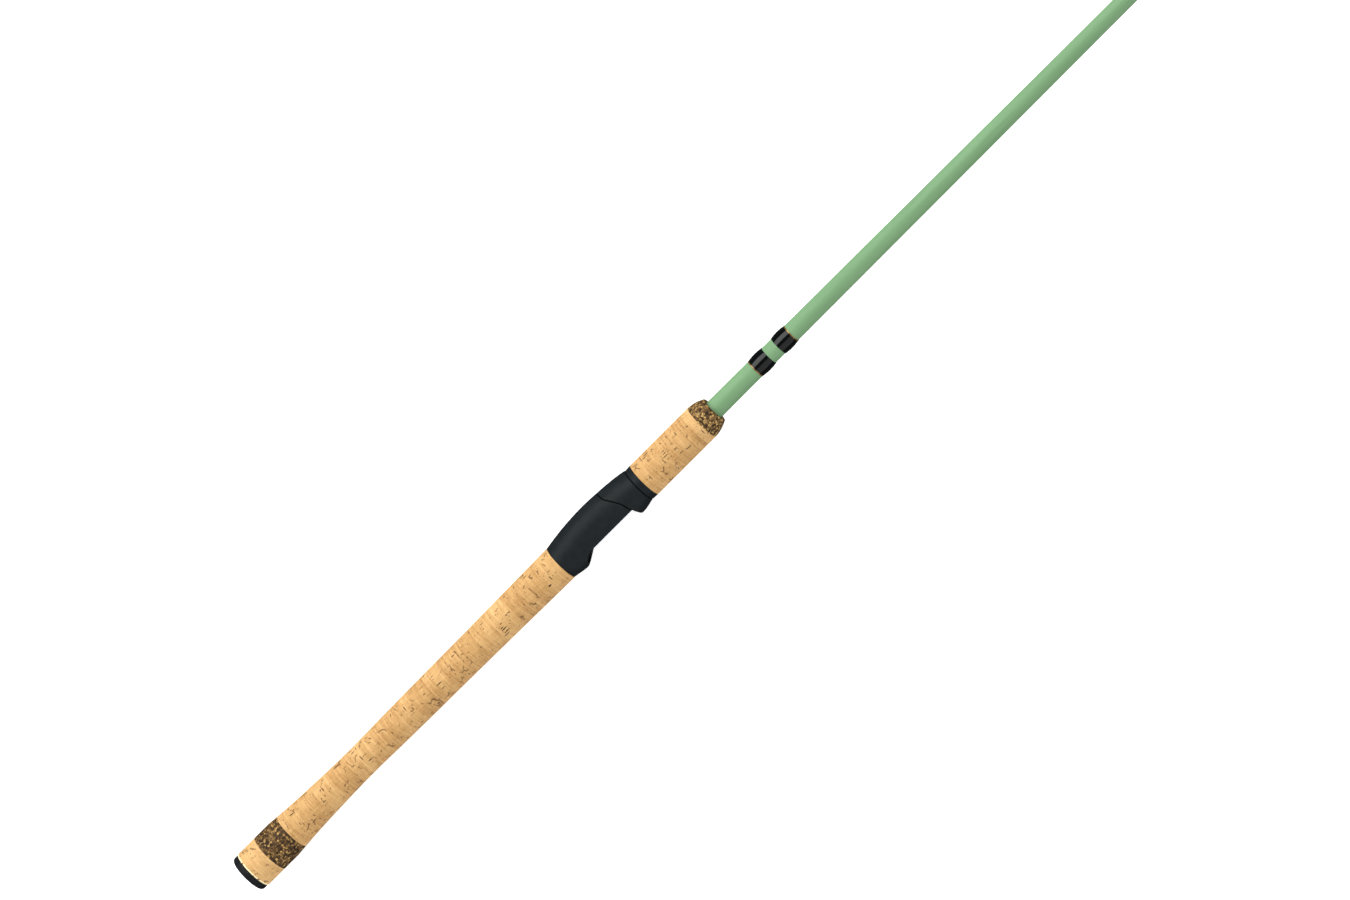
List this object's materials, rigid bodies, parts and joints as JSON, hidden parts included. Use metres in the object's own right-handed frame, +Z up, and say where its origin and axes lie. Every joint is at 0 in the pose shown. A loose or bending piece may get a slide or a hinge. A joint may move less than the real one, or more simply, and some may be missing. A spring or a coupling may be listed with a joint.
{
  "type": "spinning rod",
  "caption": "One-piece spinning rod: green glass blank, cork grips with burl rings, black reel seat with a sliding hood, hook keeper, line guides and tip-top.",
  "frame": {"origin": "centre of the butt cap's end face, on the rod's axis", "axes": "+X along the rod from butt to tip, -Y towards the reel foot and the line guides, +Z up as the rod lies on its side"},
  "size_m": [2.1326, 0.0591, 0.025],
  "materials": {
    "black_rubber": "satin",
    "natural_cork": "matte",
    "burl_cork": "matte",
    "green_blank": "satin",
    "seat_black": "satin",
    "arbor": "matte",
    "dark_wire": "satin",
    "thread_wrap": "gloss",
    "trim_thread": "gloss",
    "guide_frame": "satin",
    "ceramic_ring": "gloss"
  },
  "bodies": {
    "rod": {"butt_cap": "black_rubber", "butt_cork_ring": "natural_cork", "butt_burl_ring": "burl_cork", "rear_grip_cork_rings": "natural_cork", "blank": "green_blank", "reel_seat_body": "seat_black", "seat_arbors": "arbor", "hook_keeper": "dark_wire", "keeper_wraps": "thread_wrap", "keeper_trim_bands": "trim_thread", "guide_trim_bands": "trim_thread", "tip_top_frame": "guide_frame", "tip_top_ring": "ceramic_ring", "tip_top_wrap": "thread_wrap", "guide_1_frame": "guide_frame", "guide_1_ring": "ceramic_ring", "guide_1_wraps": "thread_wrap", "guide_2_frame": "guide_frame", "guide_2_ring": "ceramic_ring", "guide_2_wraps": "thread_wrap", "guide_3_frame": "guide_frame", "guide_3_ring": "ceramic_ring", "guide_3_wraps": "thread_wrap", "guide_4_frame": "guide_frame", "guide_4_ring": "ceramic_ring", "guide_4_wraps": "thread_wrap", "guide_5_frame": "guide_frame", "guide_5_ring": "ceramic_ring", "guide_5_wraps": "thread_wrap", "guide_6_frame": "guide_frame", "guide_6_ring": "ceramic_ring", "guide_6_wraps": "thread_wrap", "guide_7_frame": "guide_frame", "guide_7_ring": "ceramic_ring", "guide_7_wraps": "thread_wrap"},
    "hood": {"moving_hood": "seat_black"},
    "fore_grip": {"hood_nut": "seat_black", "fore_grip_cork_rings": "natural_cork", "fore_grip_burl_cap": "burl_cork"}
  },
  "joints": [
    {"name": "hood_slide", "type": "slide", "parent": "rod", "child": "hood", "axis": [1, 0, 0], "range_m": [0, 0.0191]},
    {"name": "nut_turn", "type": "hinge", "parent": "hood", "child": "fore_grip", "pos_m": [0.3126, 0, 0], "axis": [1, 0, 0], "range_deg": [0, 2736]}
  ],
  "couplings": [
    {"joint": "hood_slide", "follows": "nut_turn", "m_per_rad": 0.00039789}
  ]
}
